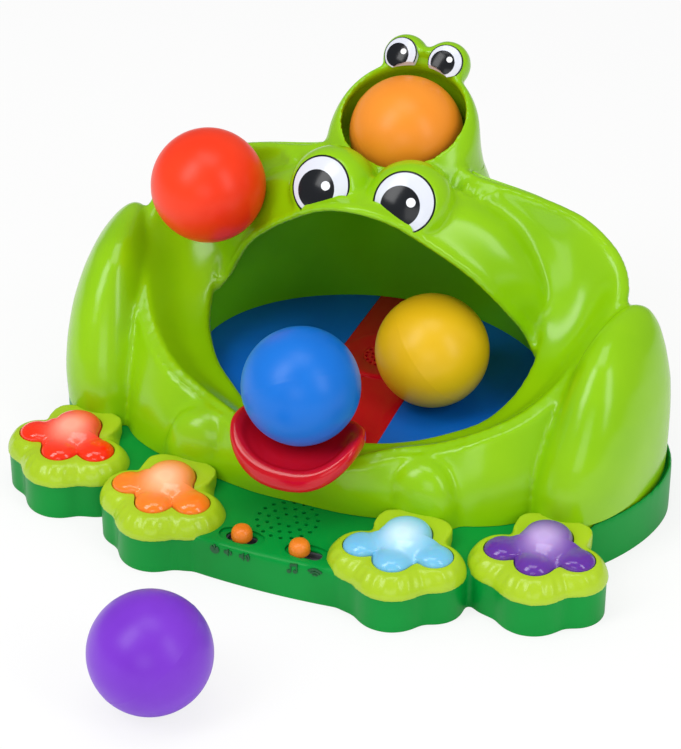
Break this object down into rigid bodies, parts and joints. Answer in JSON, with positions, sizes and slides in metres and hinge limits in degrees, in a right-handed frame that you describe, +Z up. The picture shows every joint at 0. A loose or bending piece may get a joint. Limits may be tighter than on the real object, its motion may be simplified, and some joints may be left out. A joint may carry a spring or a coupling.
{
  "type": "ball popper toy",
  "caption": "Frog-shaped ball popper toy: open mouth, shoulder tracks, ring mouth on top, webbed-foot buttons, sliding switches, tongue lever and loose soft balls.",
  "frame": {"origin": "middle of the toy's underside, on the floor, in the plane between its left and right halves", "axes": "+Z up, -Y to the front where the mouth and the switches are, +X to the right as seen from the front"},
  "size_m": [0.36, 0.3979, 0.2178],
  "materials": {
    "base_green": "satin moulded",
    "lime": "gloss moulded",
    "foot_lime": "satin moulded",
    "mouth_green": "satin moulded",
    "floor_blue": "satin moulded",
    "red": "gloss moulded",
    "eye_white": "gloss, printed pupils",
    "knob_orange": "satin moulded",
    "button_red": "translucent, lit from below",
    "button_orange": "translucent, lit from below",
    "button_blue": "translucent, lit from below",
    "button_purple": "translucent, lit from below",
    "ball_orange": "soft, satin",
    "ball_blue": "soft, satin",
    "ball_yellow": "soft, satin",
    "ball_red": "soft, satin",
    "ball_purple": "soft, satin",
    "steel": "plated",
    "board_green": "lacquered board",
    "grey_plastic": "plain moulded"
  },
  "bodies": {
    "housing": {"base_shell": "base_green", "bottom_plate": "base_green", "front_shell": "lime", "face_hood": "lime", "big_eye_left": "eye_white", "big_eye_right": "eye_white", "rear_shell": "lime", "small_frog": "lime", "small_eye_left": "eye_white", "small_eye_right": "eye_white", "mouth_floor": "floor_blue", "throat_strip": "red", "mouth_liner": "mouth_green", "foot_bezel_outer_left": "foot_lime", "button_board_outer_left": "board_green", "foot_bezel_inner_left": "foot_lime", "button_board_inner_left": "board_green", "foot_bezel_inner_right": "foot_lime", "button_board_inner_right": "board_green", "foot_bezel_outer_right": "foot_lime", "button_board_outer_right": "board_green", "tongue_pin": "steel", "tongue_switch": "grey_plastic", "tongue_spring": "steel", "volume_switch": "grey_plastic", "mode_switch": "grey_plastic", "blower_motor": "steel", "blower_housing": "grey_plastic", "blower_cover": "grey_plastic", "battery_1": "steel", "battery_2": "steel", "battery_3": "steel", "battery_4": "steel", "contact_front": "steel", "contact_rear": "steel", "base_screw_1": "steel", "base_screw_2": "steel", "base_screw_3": "steel", "base_screw_4": "steel", "base_screw_5": "steel", "base_screw_6": "steel", "main_board": "board_green", "speaker": "grey_plastic"},
    "tongue": {"tongue": "red"},
    "impeller": {"impeller": "grey_plastic"},
    "battery_door": {"battery_door": "base_green", "door_screw": "steel"},
    "volume_knob": {"volume_knob": "knob_orange"},
    "mode_knob": {"mode_knob": "knob_orange"},
    "foot_button_outer_left": {"foot_button_outer_left": "button_red"},
    "foot_button_inner_left": {"foot_button_inner_left": "button_orange"},
    "foot_button_inner_right": {"foot_button_inner_right": "button_blue"},
    "foot_button_outer_right": {"foot_button_outer_right": "button_purple"},
    "ball_orange": {"ball_orange": "ball_orange"},
    "ball_blue": {"ball_blue": "ball_blue"},
    "ball_yellow": {"ball_yellow": "ball_yellow"},
    "ball_red": {"ball_red": "ball_red"},
    "ball_purple": {"ball_purple": "ball_purple"}
  },
  "joints": [
    {"name": "tongue_hinge", "type": "hinge", "parent": "housing", "child": "tongue", "pos_m": [0, -0.044, 0.052], "axis": [1, 0, 0], "range_deg": [0, 5], "stiffness_Nm_per_rad": 0.6, "springref_deg": -17.19, "deforming": ["tongue_spring"]},
    {"name": "volume_slide", "type": "slide", "parent": "housing", "child": "volume_knob", "axis": [1, 0, 0], "range_m": [-0.005, 0.005]},
    {"name": "mode_slide", "type": "slide", "parent": "housing", "child": "mode_knob", "axis": [1, 0, 0], "range_m": [0, 0.009]},
    {"name": "impeller_spin", "type": "hinge", "parent": "housing", "child": "impeller", "pos_m": [-0.042, 0.063, 0.03], "axis": [0, 0, 1], "continuous": true},
    {"name": "battery_door_drop", "type": "slide", "parent": "housing", "child": "battery_door", "axis": [0, 0, -1], "range_m": [0, 0.015]},
    {"name": "button_press_outer_left", "type": "slide", "parent": "housing", "child": "foot_button_outer_left", "axis": [0, 0, -1], "range_m": [0, 0.0025], "stiffness_N_per_m": 500, "springref_m": -0.002},
    {"name": "button_press_inner_left", "type": "slide", "parent": "housing", "child": "foot_button_inner_left", "axis": [0, 0, -1], "range_m": [0, 0.0025], "stiffness_N_per_m": 500, "springref_m": -0.002},
    {"name": "button_press_inner_right", "type": "slide", "parent": "housing", "child": "foot_button_inner_right", "axis": [0, 0, -1], "range_m": [0, 0.0025], "stiffness_N_per_m": 500, "springref_m": -0.002},
    {"name": "button_press_outer_right", "type": "slide", "parent": "housing", "child": "foot_button_outer_right", "axis": [0, 0, -1], "range_m": [0, 0.0025], "stiffness_N_per_m": 500, "springref_m": -0.002},
    {"name": "ball_lift_orange", "type": "slide", "parent": "housing", "child": "ball_orange", "axis": [0, -0.4, 0.9165], "range_m": [0, 0.003]},
    {"name": "ball_lift_blue", "type": "slide", "parent": "housing", "child": "ball_blue", "axis": [0, 0, 1], "range_m": [0, 0.08]},
    {"name": "ball_lift_yellow", "type": "slide", "parent": "housing", "child": "ball_yellow", "axis": [0, 0, 1], "range_m": [0, 0.02]},
    {"name": "ball_lift_red", "type": "slide", "parent": "housing", "child": "ball_red", "axis": [0, 0, 1], "range_m": [0, 0.06]},
    {"name": "ball_lift_purple", "type": "slide", "parent": "housing", "child": "ball_purple", "axis": [0, 0, 1], "range_m": [0, 0.1]}
  ]
}
